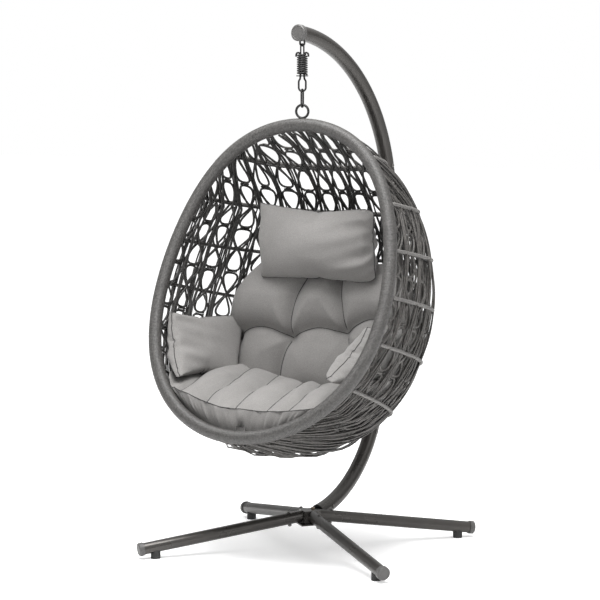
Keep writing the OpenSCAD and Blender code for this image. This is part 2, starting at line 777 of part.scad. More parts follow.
// The functions give the depth and angle on the wall, and the two thicknesses there, at each f and g
module patch(depth, angle, low, high, eye) {
    n = cushion_grid;
    function raised(f, g, lift) = let (
        v = depth(f, g), phi = angle(f, g), p = shell_at(v, phi) - wall_inset * shell_out(v, phi))
        p + lift * unit(eye - p);
    lower = [for (i = [0:n]) for (j = [0:n]) raised(i / n, j / n, low(i / n, j / n))];
    upper = [for (i = [0:n]) for (j = [0:n]) raised(i / n, j / n, high(i / n, j / n))];
    w = n + 1;
    m = w * w;
    polyhedron(
        points = concat(lower, upper),
        faces = concat(
            [for (i = [0:n - 1]) for (j = [0:n - 1]) [i * w + j, i * w + j + 1, i * w + w + j + 1, i * w + w + j]],
            [for (i = [0:n - 1]) for (j = [0:n - 1])
                [m + i * w + j, m + i * w + w + j, m + i * w + w + j + 1, m + i * w + j + 1]],
            [for (j = [0:n - 1]) [j, m + j, m + j + 1, j + 1]],
            [for (j = [0:n - 1]) [n * w + j, n * w + j + 1, m + n * w + j + 1, m + n * w + j]],
            [for (i = [0:n - 1]) [i * w, i * w + w, m + i * w + w, m + i * w]],
            [for (i = [0:n - 1]) [i * w + n, m + i * w + n, m + i * w + w + n, i * w + w + n]]),
        convexity = 4);
}
module seat_cushion() {
    color([0.58, 0.57, 0.55])
        patch(
            function(f, g) let (top = seat_side_v - (seat_side_v - seat_v) * pow(sin(180 * g), 2)) top + (seat_front_v - top) * f,
            function(f, g) seat_phi + (180 - 2 * seat_phi) * g,
            function(f, g) 0,
            function(f, g) seat_t * puff(f, g),
            seat_eye);
}
module back_cushion() {
    color([0.58, 0.57, 0.55])
        patch(
            function(f, g) back_v + (seat_v - cushion_gap - back_v) * f,
            function(f, g) back_phi + (180 - 2 * back_phi) * g,
            function(f, g) f < 0.3 ? 0 : back_hollow * puff((f - 0.2) / 0.8, g),
            function(f, g) f < 0.3 ? back_top_t * pow(puff(f, g), 0.3) : back_t * puff((f - 0.2) / 0.8, g),
            back_eye);
}
module headrest_pillow() {
    color([0.58, 0.57, 0.55])
        patch(
            function(f, g) headrest_v + (headrest_low_v - headrest_v) * f,
            function(f, g) headrest_phi + (180 - 2 * headrest_phi) * g,
            function(f, g) back_top_t + headrest_seat + headrest_t * 0.3 * (1 - puff(f, g)),
            function(f, g) back_top_t + headrest_seat + headrest_t * (0.3 + 0.7 * puff(f, g)),
            back_eye);
}
module arm_pillow() {
    patch(
        function(f, g) arm_v + (arm_low_v - arm_v) * f,
        function(f, g) arm_phi + (arm_back_phi - arm_phi) * g,
        function(f, g) 0,
        function(f, g) arm_t * puff(f, g),
        arm_eye);
}
module right_arm_pillow() {
    color([0.58, 0.57, 0.55])
        arm_pillow();
}
module left_arm_pillow() {
    color([0.58, 0.57, 0.55])
        mirror([1, 0, 0])
            arm_pillow();
}

place() hub();
place() leg(front_left);  // leg_front_left
place() leg(front_right);  // leg_front_right
place() leg(back_left);  // leg_back_left
place() leg(back_right);  // leg_back_right
place() leg_caps();
place() foot_pads();
place() leg_bolts();
place() leg_nuts();
place() hub_bolt();
place() post_spigot();
place() post_lower();
place() post_middle();
place() post_upper();
place() post_sleeve_lower();
place() post_sleeve_upper();
place() post_bolts();
place() post_nuts();
place() arm_cap();
place() hanger();
place() spring_upper_bar();
place() spring_coil();
place() spring_lower_bar();
place() chain_link();
place() basket_ring();
place() rim_frame();
place() hoop(1);  // hoop_1
place() hoop(2);  // hoop_2
place() hoop(3);  // hoop_3
place() hoop(4);  // hoop_4
place() hoop(5);  // hoop_5
place() hoop(6);  // hoop_6
place() weave_strands();
place() weave_ribs();
place() seat_cushion();
place() back_cushion();
place() headrest_pillow();
place() left_arm_pillow();
place() right_arm_pillow();
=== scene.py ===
import json
import math

import bpy
import numpy as np
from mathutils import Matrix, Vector
from mathutils.bvhtree import BVHTree


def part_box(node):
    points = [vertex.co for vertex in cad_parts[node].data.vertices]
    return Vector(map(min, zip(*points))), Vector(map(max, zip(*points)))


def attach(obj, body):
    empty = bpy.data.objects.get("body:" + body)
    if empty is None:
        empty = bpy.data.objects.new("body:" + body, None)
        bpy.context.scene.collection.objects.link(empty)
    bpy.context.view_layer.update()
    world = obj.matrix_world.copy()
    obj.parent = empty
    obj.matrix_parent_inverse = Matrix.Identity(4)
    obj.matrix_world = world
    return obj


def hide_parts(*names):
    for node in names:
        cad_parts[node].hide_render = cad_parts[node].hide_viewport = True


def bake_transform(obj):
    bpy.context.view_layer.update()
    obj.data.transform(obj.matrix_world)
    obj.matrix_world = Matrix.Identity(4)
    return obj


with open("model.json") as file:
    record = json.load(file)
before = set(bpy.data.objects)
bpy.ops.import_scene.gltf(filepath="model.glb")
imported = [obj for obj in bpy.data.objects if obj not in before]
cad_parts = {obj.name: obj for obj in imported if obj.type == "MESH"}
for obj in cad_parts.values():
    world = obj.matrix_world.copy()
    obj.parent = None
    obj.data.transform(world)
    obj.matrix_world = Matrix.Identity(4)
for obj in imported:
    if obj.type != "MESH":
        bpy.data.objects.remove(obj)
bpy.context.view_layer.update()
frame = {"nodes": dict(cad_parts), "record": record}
rng = np.random.default_rng(7)
TURN = 2 * math.pi

# ---------------------------------------------------------------- frame values, in metres
JOINT = {j["name"]: j for j in frame["record"]["behaviour"]["joints"]}
HANG_Y = JOINT["fore_aft_swing"]["pos_m"][1]
HUB_Y = HANG_Y + .05            # the hub's centre line lies a little behind the hanging line
# the basket's own dimensions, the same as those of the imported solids
RIM_TOP = 1.5927                # height of the rim's centre line at its top
RIM_H = 1.1885                  # length of the rim down its slope
RIM_W = .5269                   # half the rim's width
RIM_R = .0241                   # radius of the winding
LEAN = math.radians(21.1)       # slope of the rim from upright
SIDE_BOW = .0231                # how far the rim's sides bow back at BOW_AT from its middle
BOW_AT = .45
HOOP_COUNT = 6
HOOP_FIRST = .120               # places of the hoops down the rim's slope
HOOP_STEP = .168
HOOPS = [HOOP_FIRST + HOOP_STEP * k for k in range(HOOP_COUNT)]

# ---------------------------------------------------------------- shell of the basket
EGG_1, EGG_2, EGG_3 = -.0324, .0472, .0168      # what makes the rim an egg and not an ellipse
BOWL_DEPTH = .575                               # deepest reach of a level behind the rim
DEEPEST = .632                                  # where that is, as a share of RIM_H
ABOVE, BELOW = .67, .39                         # how the depth grows to there and closes after it
BOX_POWER = 3                                   # each level is a superellipse of this power
DIP, DIP_LOW, DIP_CROWN = 6.4, 21, 13           # degrees by which the levels dip to the back


def unit(a):
    return a / np.maximum(np.linalg.norm(a, axis=-1, keepdims=True), 1e-12)


def along(path):
    """How far each point lies along a path."""
    return np.concatenate([[0], np.cumsum(np.linalg.norm(np.diff(path, axis=0), axis=1))])


def rim_width(t):
    """Half the rim's width at the angle t, from 0 at its top to pi at its foot."""
    return RIM_W * np.sin(t) * (1 + EGG_1 * np.cos(t) + EGG_2 * np.cos(2 * t) + EGG_3 * np.cos(3 * t))


def rim_side(u, v):
    """The point of the rim's bowed face that lies u metres to the side and v metres down the slope."""
    bow = SIDE_BOW * (u / BOW_AT) ** 2
    return np.stack([u,
                     HANG_Y - math.sin(LEAN) * v + math.cos(LEAN) * bow,
                     RIM_TOP - math.cos(LEAN) * v - math.sin(LEAN) * bow], -1)


def rim_path(n):
    """n evenly spaced points of the rim's centre line."""
    fine = np.linspace(0, TURN, 4001)
    far = along(rim_side(rim_width(fine), RIM_H / 2 * (1 - np.cos(fine))))
    t = np.interp(np.linspace(0, far[-1], n, endpoint=False), far, fine)
    return rim_side(rim_width(t), RIM_H / 2 * (1 - np.cos(t)))


def shell(v, phi):
    """Points of the woven wall: v metres down the rim's slope, phi degrees from +X round the back to -X."""
    v, phi = np.broadcast_arrays(np.asarray(v, float), np.asarray(phi, float))
    s = np.clip(v / RIM_H, 1e-4, 1 - 1e-4)
    half = rim_width(np.arccos(1 - 2 * s))
    deep = BOWL_DEPTH * s ** ABOVE * (1 - s) ** BELOW / (DEEPEST ** ABOVE * (1 - DEEPEST) ** BELOW)
    dip = np.radians(DIP + DIP_LOW * s * s + DIP_CROWN * (1 - s) ** 6)
    turn = np.radians(phi)
    side = (np.abs(np.cos(turn)) / half) ** BOX_POWER
    back = (np.abs(np.sin(turn)) / deep) ** BOX_POWER
    r = (side + back) ** (-1 / BOX_POWER)
    rim = rim_side(half, v)
    return np.stack([r * np.cos(turn),
                     rim[..., 1] + r * np.sin(turn) * np.cos(dip),
                     rim[..., 2] - r * np.sin(turn) * np.sin(dip)], -1)


def shell_out(v, phi, dv=.002, dphi=.4, edge=.0005):
    """The wall's outward normal, from a small step each way along it."""
    down = shell(np.minimum(v + dv, RIM_H - edge), phi) - shell(np.maximum(v - dv, edge), phi)
    return unit(np.cross(down, shell(v, phi + dphi) - shell(v, phi - dphi)))


# ---------------------------------------------------------------- mesh helpers
def new_mesh(name, points, faces):
    me = bpy.data.meshes.new(name)
    me.from_pydata([tuple(p) for p in points], [], faces)
    me.validate()
    me.polygons.foreach_set("use_smooth", [True] * len(me.polygons))
    ob = bpy.data.objects.new(name, me)
    bpy.context.collection.objects.link(ob)
    return ob


def joined(name, parts):
    """One mesh from several pairs of points and faces."""
    points, faces, base = [], [], 0
    for part_points, part_faces in parts:
        points.append(part_points)
        faces += [[i + base for i in face] for face in part_faces]
        base += len(part_points)
    return new_mesh(name, np.concatenate(points), faces)


def tube(path, radius, sides, closed=False, up=None, wave=None):
    """Points and faces of a tube. wave(i, angle) scales the radius at point i of the path."""
    path = np.asarray(path, float)
    n = len(path)
    if closed:
        ahead = unit(np.roll(path, -1, 0) - np.roll(path, 1, 0))
    else:
        ahead = unit(np.gradient(path, axis=0))
    if up is None:
        aside = np.zeros_like(path)
        upright = abs(ahead[0][2]) > .9
        aside[0] = unit(np.cross([1., 0, 0] if upright else [0, 0, 1.], ahead[0]))
        for i in range(1, n):
            aside[i] = unit(aside[i - 1] - ahead[i] * np.dot(aside[i - 1], ahead[i]))
    else:
        aside = unit(np.cross(np.broadcast_to(up, path.shape), ahead))
    over = unit(np.cross(ahead, aside))
    angle = np.arange(sides) * TURN / sides
    r = np.full((n, sides), float(radius))
    if wave is not None:
        r = r * wave(np.arange(n)[:, None], angle[None, :])
    cos, sin = np.cos(angle)[None, :, None], np.sin(angle)[None, :, None]
    points = path[:, None, :] + r[..., None] * (cos * aside[:, None, :] + sin * over[:, None, :])
    ids = np.arange(n * sides).reshape(n, sides)
    after = np.roll(ids, -1, 0)
    quads = np.stack([ids, np.roll(ids, -1, 1), np.roll(after, -1, 1), after], -1)
    faces = quads[:n if closed else n - 1].reshape(-1, 4).tolist()
    if not closed:
        faces.append(ids[0, ::-1].tolist())
        faces.append(ids[-1].tolist())
    return points.reshape(-1, 3), faces


def tubes(name, paths, radius, sides=6):
    """Tubes along several paths in one mesh. radius is a number, or one for each path."""
    radii = np.broadcast_to(radius, len(paths))
    return joined(name, [tube(p, r, sides) for p, r in zip(paths, radii)])


# ---------------------------------------------------------------- materials
def grey(v, warm):
    """A grey of value v, leaning to red and away from blue by the share warm."""
    return (v * (1 + warm), v, v * (1 - warm))


def material(name, base, rough, metallic=0.0, **values):
    """A new material, with its nodes, its links and its shader."""
    mat = bpy.data.materials.new(name)
    mat.use_nodes = True
    shader = mat.node_tree.nodes["Principled BSDF"]
    shader.inputs["Base Color"].default_value = (*base, 1)
    shader.inputs["Roughness"].default_value = rough
    shader.inputs["Metallic"].default_value = metallic
    for socket, value in values.items():
        shader.inputs[socket.replace("_", " ")].default_value = value
    return mat, mat.node_tree.nodes, mat.node_tree.links, shader


def noise(nodes, links, scale, detail=3):
    place = nodes.new("ShaderNodeTexCoord")
    texture = nodes.new("ShaderNodeTexNoise")
    texture.inputs["Scale"].default_value = scale
    texture.inputs["Detail"].default_value = detail
    links.new(place.outputs["Object"], texture.inputs["Vector"])
    return texture.outputs["Fac"]


def ramp(nodes, links, value, *stops):
    """Colours from a value. Each stop is a place and a colour."""
    node = nodes.new("ShaderNodeValToRGB")
    marks = node.color_ramp.elements
    while len(marks) < len(stops):
        marks.new(.5)
    for mark, (place, colour) in zip(marks, stops):
        mark.position = place
        mark.color = (*colour, 1)
    links.new(value, node.inputs[0])
    return node.outputs[0]


def bump(nodes, links, shader, height, distance, strength, over=None):
    """A bump from a height, laid over another one if that is given."""
    node = nodes.new("ShaderNodeBump")
    node.inputs["Distance"].default_value = distance
    node.inputs["Strength"].default_value = strength
    links.new(height, node.inputs["Height"])
    if over is not None:
        links.new(over, node.inputs["Normal"])
    links.new(node.outputs[0], shader.inputs["Normal"])
    return node.outputs[0]


def powder(name, v, rough, warm=.05, metallic=.55):
    """A coated or moulded surface: faint blotches in its colour and gloss, and a fine grain."""
    mat, nodes, links, shader = material(name, grey(v, warm), rough, metallic)
    blotches = noise(nodes, links, scale=14)
    colour = ramp(nodes, links, blotches, (.3, grey(v * .94, warm)), (.7, grey(v * 1.06, warm)))
    links.new(colour, shader.inputs["Base Color"])
    wear = noise(nodes, links, scale=9)
    gloss = ramp(nodes, links, wear, (.3, (rough - .06,) * 3), (.7, (rough + .08,) * 3))
    links.new(gloss, shader.inputs["Roughness"])
    grain = noise(nodes, links, scale=900, detail=2)
    bump(nodes, links, shader, grain, distance=.0001, strength=.12)
    return mat


def wicker(name, v, rough, warm, mottle, contrast):
    """Wicker with weathered flecks: mottle sets how small they are, contrast how strong."""
    mat, nodes, links, shader = material(name, grey(v, warm), rough)
    dark, light = grey(v * (1 - contrast), warm), grey(v * (1 + contrast), warm)
    flecks = noise(nodes, links, scale=mottle)
    links.new(ramp(nodes, links, flecks, (.25, dark), (.75, light)), shader.inputs["Base Color"])
    grain = noise(nodes, links, scale=1400, detail=2)
    bump(nodes, links, shader, grain, distance=.0002, strength=.6)
    return mat


def fabric(name, v, warm=.035):
    """Plain-woven cloth: two sets of threads as bumps, under soft unevenness."""
    mat, nodes, links, shader = material(name, grey(v, warm), .95, Sheen_Weight=.1, Sheen_Roughness=.5)
    wash = noise(nodes, links, scale=7, detail=4)
    yarn = noise(nodes, links, scale=420, detail=2)
    mix = nodes.new("ShaderNodeMix")
    mix.data_type = "RGBA"
    mix.blend_type = "MULTIPLY"
    mix.inputs[0].default_value = 1
    links.new(ramp(nodes, links, wash, (.3, grey(v * .92, warm)), (.7, grey(v * 1.06, warm))), mix.inputs[6])
    links.new(ramp(nodes, links, yarn, (.35, (.82,) * 3), (.65, (1.1,) * 3)), mix.inputs[7])
    links.new(mix.outputs[2], shader.inputs["Base Color"])
    place = nodes.new("ShaderNodeTexCoord")
    weft_and_warp = nodes.new("ShaderNodeMath")
    weft_and_warp.operation = "MULTIPLY"
    for k, axis in enumerate("XZ"):
        threads = nodes.new("ShaderNodeTexWave")
        threads.wave_type = "BANDS"
        threads.bands_direction = axis
        threads.inputs["Scale"].default_value = 330
        threads.inputs["Distortion"].default_value = 1.2
        threads.inputs["Detail"].default_value = 1
        links.new(place.outputs["Object"], threads.inputs["Vector"])
        links.new(threads.outputs["Fac"], weft_and_warp.inputs[k])
    weave_bump = bump(nodes, links, shader, weft_and_warp.outputs[0], distance=.00025, strength=.35)
    crumple = noise(nodes, links, scale=28)
    bump(nodes, links, shader, crumple, distance=.0035, strength=.35, over=weave_bump)
    return mat


M_FRAME = powder("frame_powder_coat", .047, rough=.3, warm=.07)
M_DARK = powder("black_coated_steel", .014, rough=.42, warm=.02, metallic=.4)
M_CAP = powder("cap_plastic", .06, rough=.5, warm=.03, metallic=0)
M_FOOT = powder("foot_rubber", .02, rough=.8, warm=0, metallic=0)
M_BOLT = powder("bolt_zinc", .13, rough=.38, warm=.04, metallic=.9)
M_BRASS = powder("bolt_brass", .2, rough=.35, warm=.25, metallic=.9)
M_WEAVE = wicker("weave_dark", .024, rough=.5, warm=.05, mottle=60, contrast=.5)
# a lighter copy of the weave's wicker for the strands' outer faces: painted light, with the dark weave on the
# inner faces as painted shade
M_WEAVE_PAINTED_LIT = wicker("weave_painted_lit_side", .055, rough=.55, warm=.07, mottle=110, contrast=.6)
M_RIM = wicker("rim_wicker", .043, rough=.5, warm=.05, mottle=150, contrast=.65)
M_ROPE = wicker("hoop_rope", .115, rough=.7, warm=.04, mottle=160, contrast=.5)
M_FABRIC = fabric("cushion_fabric", .17)
# near-black cloth for the cords laid along the cushions' seams: painted shade in the creases
M_CREASE_SHADE = fabric("cushion_crease_shade", .03)

# nodes of the frame that aren't black coated steel
FINISH = {
    "hub": M_FRAME, "post_lower": M_FRAME, "post_middle": M_FRAME, "post_upper": M_FRAME,
    "leg_front_left": M_FRAME, "leg_front_right": M_FRAME,
    "leg_back_left": M_FRAME, "leg_back_right": M_FRAME,
    "leg_caps": M_CAP, "arm_cap": M_CAP, "foot_pads": M_FOOT, "hub_bolt": M_BRASS,
    "leg_bolts": M_BOLT, "leg_nuts": M_BOLT, "post_bolts": M_BOLT, "post_nuts": M_BOLT,
}
for node, ob in frame["nodes"].items():
    finish = FINISH.get(node, M_DARK)
    if not ob.data.materials:
        ob.data.materials.append(finish)
    for held in ob.material_slots:
        held.material = finish


def dress(ob, mat, body, slot, *nodes):
    """A finished piece: its material if it has none yet, its body, its slot, which is not used, and the nodes
    it stands for.
    """
    if not ob.data.materials:
        ob.data.materials.append(mat)
    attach(ob, body)
    if nodes:
        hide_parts(*nodes)


# ---------------------------------------------------------------- wound rim
WINDS = 620                     # turns of wicker round the rim
PER_WIND = 6                    # points of the path in each turn
RIM_SIDES = 28
WIND_GROOVE = .95               # radius between two turns, as a share of RIM_R
WIND_BACK = .065                # how far a turn's round back stands above that
uneven = rng.normal(0, .0036, WINDS)


def winding(i, angle):
    place = i / PER_WIND + angle / TURN
    back = np.sqrt(np.clip(1 - (2 * (place % 1.0) - 1) ** 2, 0, 1))
    return WIND_GROOVE + WIND_BACK * back + uneven[np.floor(place).astype(int) % WINDS]


RIM_UP = np.array([0, math.cos(LEAN), -math.sin(LEAN)])
rim = tube(rim_path(WINDS * PER_WIND), RIM_R, RIM_SIDES, closed=True, up=RIM_UP, wave=winding)
dress(new_mesh("rim_wound", *rim), M_RIM, "basket", "rim_wicker", "rim_frame")

# ---------------------------------------------------------------- hoops and the rope laid outside each
HOOP_R = .0048
HOOP_FROM = .9                  # a hoop's end lies this far behind the rim's centre line, as a share of RIM_R
ROPE_R = .0074
ROPE_LIFT = .0145               # from the wall's middle to the rope's
ROPE_STRANDS = 3
ROPE_PITCH = .010               # from one strand to the next
ROPE_GROOVE = .22               # depth between the strands, as a share of ROPE_R


def rope(path):
    """A rope of three laid strands, with their grooves as real form."""
    far = along(path)
    s = np.linspace(0, far[-1], int(far[-1] / (ROPE_PITCH / 5)))
    turn = TURN * s[:, None] / (ROPE_PITCH * ROPE_STRANDS)
    even = np.stack([np.interp(s, far, path[:, i]) for i in range(3)], -1)
    return tube(even, ROPE_R, 10,
                wave=lambda i, angle: 1 - ROPE_GROOVE * (.5 + .5 * np.cos(ROPE_STRANDS * (angle + turn))))


ropes = []
for k, v in enumerate(HOOPS):
    half = float(rim_width(np.arccos(1 - 2 * v / RIM_H)))
    edge = math.degrees(math.asin(RIM_R * HOOP_FROM / half))
    phi = np.linspace(edge, 180 - edge, 120)
    hoop = shell(v, phi)
    rod = tubes("hoop_rod_%d" % (k + 1), [hoop], HOOP_R, 8)
    dress(rod, M_WEAVE, "basket", "dark_metal", "hoop_%d" % (k + 1))
    ropes.append(rope(hoop + ROPE_LIFT * shell_out(v, phi)))
dress(joined("hoop_ropes", ropes), M_ROPE, "basket", "rim_wicker")

# ---------------------------------------------------------------- weave
# A strand's place is a column, counted from +X, and a phase: -1 at the rim's top, 0 to 5 at the hoops and
# 6 at the rim's foot.
COLUMNS = 17
PITCH = 180 / COLUMNS
FIRST, LAST = -1, HOOP_COUNT
PHASES = np.arange(FIRST, LAST + 1)
CROWN = .30                     # above this place down the slope the columns don't draw together
LOOP_R, TIE_R, DIAGONAL_R, RIB_R, OUTER_RIB_R = .0045, .0034, .0041, .0037, .0031
LOOP_HALF = .27                 # half a loop's width, in columns
LOOP_REACH = .47                # half the height of a figure of eight, in phases
CROSS_LIFT = .0085              # how far strands that cross stand off the wall
RIB_LIFT, OUTER_RIB_LIFT = -.0105, .011
RIM_GAP = .0255                 # strands end this far from the rim's centre line
EDGE = .001                     # how near to the wall's top and foot a strand can lie
LEVELS = np.linspace(.004, RIM_H - .004, 200)
GIRTH = np.array([along(shell(v, np.linspace(0, 180, 60)))[-1] for v in LEVELS])
RIM_LINE = rim_path(400)


def spread(angle, v):
    """Columns keep their pitch above the crown line and end on the rim; below it they follow the wall."""
    to_foot = 1 - np.clip(v / RIM_H, .003, .997)
    wide = np.maximum(1, np.interp(CROWN, LEVELS, GIRTH) / np.interp(v, LEVELS, GIRTH))
    return 90 + (angle - 90) * (wide + np.minimum(.2, .004 / to_foot))


def lay(phase, column, lift):
    """Points on the wall, lifted out by lift. Points beyond the wall's edge are not numbers."""
    v = np.clip(np.interp(phase, PHASES, [0, *HOOPS, RIM_H]), EDGE, RIM_H - EDGE)
    phi = spread(column * PITCH, v)
    held = np.clip(phi, .8, 179.2)
    p = shell(v, held) + np.broadcast_to(lift, v.shape)[..., None] * shell_out(v, held)
    p[np.abs(phi - 90) > 90] = np.nan
    return p


def runs(ok, least):
    """The unbroken runs of at least that many true values, as arrays of places."""
    on = np.flatnonzero(ok)
    return [run for run in np.split(on, np.flatnonzero(np.diff(on) > 1) + 1) if len(run) >= least]


strands, strand_radii = [], []


def strand(phase, column, lift, radius):
    """A strand on the wall. Its stretches end on the rim's winding."""
    p = lay(phase, column, lift)
    for run in runs(~np.isnan(p[:, 0]), 5):
        part = p[run]
        from_rim = np.min(np.linalg.norm(part[:, None, :] - RIM_LINE[None], axis=2), axis=1)
        for clear in runs(from_rim > RIM_GAP, 5):
            strands.append(part[max(clear[0] - 1, 0):clear[-1] + 2])
            strand_radii.append(radius)


def loops(j):
    """Figures of eight in column j, one round each hoop: a rounded loop above it and one below it."""
    turn = np.linspace(0, TURN, 49)
    down, out = np.cos(turn), np.sin(turn)
    for h in range(FIRST, LAST + 1):
        below = LOOP_HALF + rng.normal(0, .035)
        above = LOOP_HALF + rng.normal(0, .035)
        phase = h + rng.normal(0, .012) + LOOP_REACH * down
        oval = np.abs(np.sin(2 * turn)) ** .8 * (1 + .3 * down ** 2)
        side = np.where(down > 0, below, above) * np.sign(out) * np.sign(down) * oval
        over = 1 if (h + j) % 2 else -1
        lift = CROSS_LIFT * np.sign(down) * out * over * (1 - down ** 2)
        for part in runs((phase > FIRST) & (phase < LAST), 6):
            strand(phase[part], j + .5 + side[part], lift[part], LOOP_R)


def ties(j):
    """Short wraps that tie the loops of column j together, two in each bay."""
    across = np.linspace(-.2, .2, 9)
    for h in range(FIRST, LAST):
        for e in (-1, 1):
            phase = np.full(len(across), h + .5 + .018 * e)
            lift = .002 * e + .004 * np.cos(across * 14)
            strand(phase, j + .5 + across + rng.normal(0, .02), lift, TIE_R)


def diagonals(j):
    """Two long strands in column j that go from rib to rib and cross at the hoops."""
    phase = np.linspace(FIRST, LAST, 113)
    zigzag = np.sin((1 - 2 * np.abs((phase + .5) % 2 - 1)) * math.pi / 2 * .94)
    over = 1 if j % 2 else -1
    for side in (-1, 1):
        lift = side * CROSS_LIFT * np.cos(math.pi * phase) * over
        strand(phase + rng.normal(0, .02), j + .5 + side * .5 * zigzag, lift, DIAGONAL_R)


def ribs(k):
    """The rib between two columns: a bundle of thin strands inside the loops, a looser one outside them."""
    phase = np.linspace(FIRST, LAST, 85)
    for m in range(3):
        start = rng.uniform(0, 6.28)
        wander = .05 * np.sin(phase * 2.3 + start) + .03 * np.sin(phase * 5.1 + start * 2)
        lift = RIB_LIFT + .004 * np.sin(phase * 3 + start)
        strand(phase, k + (m - 1) * .07 + wander, lift, RIB_R)
    near_side = min(k, COLUMNS - k) < 5
    for m in range(4 if near_side else 2):
        start = rng.uniform(0, 6.28)
        wander = .07 * np.sin(phase * 1.9 + start) + .03 * np.sin(phase * 4.3 + start * 2)
        lift = OUTER_RIB_LIFT + .004 * (m % 2) + .003 * np.sin(phase * 3 + start)
        strand(phase, k + (m - 1) * .05 + wander, lift, OUTER_RIB_R)


for j in range(COLUMNS):
    loops(j)
    ties(j)
for j in range(COLUMNS):
    diagonals(j)
for k in range(1, COLUMNS):
    ribs(k)
weave = tubes("weave", strands, strand_radii)
weave.data.materials.append(M_WEAVE)
weave.data.materials.append(M_WEAVE_PAINTED_LIT)

# painted light and shade: faces turned away from the sitter get the lighter copy of the wicker as a painted
# lit side, and faces towards the sitter keep the dark wicker as painted shade
SITTER = np.array([0, HUB_Y - .15, .95])
weave_faces = weave.data.polygons
normals = np.zeros(len(weave_faces) * 3)
centres = np.zeros(len(weave_faces) * 3)
weave_faces.foreach_get("normal", normals)
weave_faces.foreach_get("center", centres)
away = (normals.reshape(-1, 3) * unit(centres.reshape(-1, 3) - SITTER)).sum(1)
weave_faces.foreach_set("material_index", (away > -.1).astype(int))
dress(weave, M_WEAVE, "basket", "weave_wicker", "weave_strands", "weave_ribs")

# ---------------------------------------------------------------- cushions
CASE_START = .025               # half the thickness of a case before it is blown up
CASE_FRAMES = 22
SEAM_R = .0018


def case_mesh(front, back):
    """Points and faces of a sewn case from its two grids, which share their border."""
    rows, cols = front.shape[:2]
    ids = np.arange(rows * cols).reshape(rows, cols)
    back_ids = ids.copy()
    back_ids[1:-1, 1:-1] = np.arange((rows - 2) * (cols - 2)).reshape(rows - 2, cols - 2) + ids.size
    faces = []
    for i, turn in ((ids, (0, 1, 2, 3)), (back_ids, (0, 3, 2, 1))):
        ring = [i[:-1, :-1], i[:-1, 1:], i[1:, 1:], i[1:, :-1]]
        faces += np.stack([ring[k] for k in turn], -1).reshape(-1, 4).tolist()
    return np.concatenate([front.reshape(-1, 3), back[1:-1, 1:-1].reshape(-1, 3)]), faces


def blown_up(points, faces, pressure, grow):
    """The points of a case after cloth simulation. grow is how much larger the cloth is than its outline."""
    ob = new_mesh("case", points, faces)
    cloth = ob.modifiers.new("cloth", "CLOTH")
    cloth.settings.quality = 6
    cloth.settings.mass = .25
    cloth.settings.tension_stiffness = cloth.settings.compression_stiffness = 18
    cloth.settings.shear_stiffness = 8
    cloth.settings.bending_stiffness = .4
    cloth.settings.air_damping = 4
    cloth.settings.use_pressure = True
    cloth.settings.uniform_pressure_force = pressure
    cloth.settings.shrink_min = -grow
    cloth.settings.effector_weights.gravity = 0
    cloth.collision_settings.use_collision = False
    cloth.point_cache.frame_start = 1
    cloth.point_cache.frame_end = CASE_FRAMES
    scene = bpy.context.scene
    for f in range(1, CASE_FRAMES + 1):
        scene.frame_set(f)
    result = ob.evaluated_get(bpy.context.evaluated_depsgraph_get())
    out = np.zeros(len(points) * 3)
    result.data.vertices.foreach_get("co", out)
    bpy.data.objects.remove(ob)
    scene.frame_set(1)
    return out.reshape(-1, 3)


def inflate(w, h, nx, ny, pressure=6.0, grow=.09):
    """A sewn case of w by h metres, blown up, as its front and back grids of nx by ny cells."""
    x, y = np.meshgrid(np.linspace(-w / 2, w / 2, nx + 1), np.linspace(-h / 2, h / 2, ny + 1))
    dome = (1 - np.abs(2 * x / w) ** 2.5) ** .5 * (1 - np.abs(2 * y / h) ** 2.5) ** .5
    front = np.stack([x, y, CASE_START * dome], -1)
    points, faces = case_mesh(front, front * [1, 1, -1])
    points = blown_up(points, faces, pressure, grow)
    count = front.size // 3
    front = points[:count].reshape(front.shape)
    back = front.copy()
    back[1:-1, 1:-1] = points[count:].reshape(ny - 1, nx - 1, 3)
    return front, back


def calmed(g, reach=9, passes=30):
    """A grid with the folds of its face smoothed away, and those within reach of its seams kept."""
    g = g.copy()
    rows, cols = g.shape[:2]
    i = np.minimum(np.arange(rows), np.arange(rows)[::-1])
    j = np.minimum(np.arange(cols), np.arange(cols)[::-1])
    share = np.clip(np.minimum.outer(i, j) / reach, 0, 1)[..., None] ** 1.5
    for _ in range(passes):
        mean = g.copy()
        mean[1:-1, 1:-1] = (g[:-2, 1:-1] + g[2:, 1:-1] + g[1:-1, :-2] + g[1:-1, 2:]) / 4
        g += share * (mean - g) * .9
    return g


def finer(g):
    """A grid with a new point midway between each two, on a smooth curve through their neighbours."""
    for axis in (0, 1):
        g = np.swapaxes(g, 0, axis)
        e = np.concatenate([2 * g[:1] - g[1:2], g, 2 * g[-1:] - g[-2:-1]])
        out = np.empty((2 * len(g) - 1, *g.shape[1:]))
        out[::2] = g
        out[1::2] = (9 * (e[1:-2] + e[2:-1]) - e[:-3] - e[3:]) / 16
        g = np.swapaxes(out, 0, axis)
    return g


def fitted(front, back, w, h, thick, straight):
    """A blown-up case at its finished width, height and thickness, on finer grids. straight takes out that
    share of the hollows that the sides have between the corners."""
    edge_x = np.abs(front[:, [0, -1], 0]).mean(1)
    edge_y = np.abs(front[[0, -1], :, 1]).mean(0)
    grids = []
    for g in (front, back):
        g = g.copy()
        g[..., 0] *= ((edge_x.max() / edge_x) ** straight)[:, None]
        g[..., 1] *= ((edge_y.max() / edge_y) ** straight)[None, :]
        grids.append(calmed(g))
    size = [w / 2 / np.abs(grids[0][..., 0]).max(),
            h / 2 / np.abs(grids[0][..., 1]).max(),
            thick / 2 / np.percentile(np.abs(front[..., 2]), 99.5)]
    return finer(grids[0] * size), finer(grids[1] * size)


def rest_grid(g, w, h):
    """Where the points of a grid lie in the flat cloth."""
    return np.meshgrid(np.linspace(-w / 2, w / 2, g.shape[1]), np.linspace(-h / 2, h / 2, g.shape[0]))


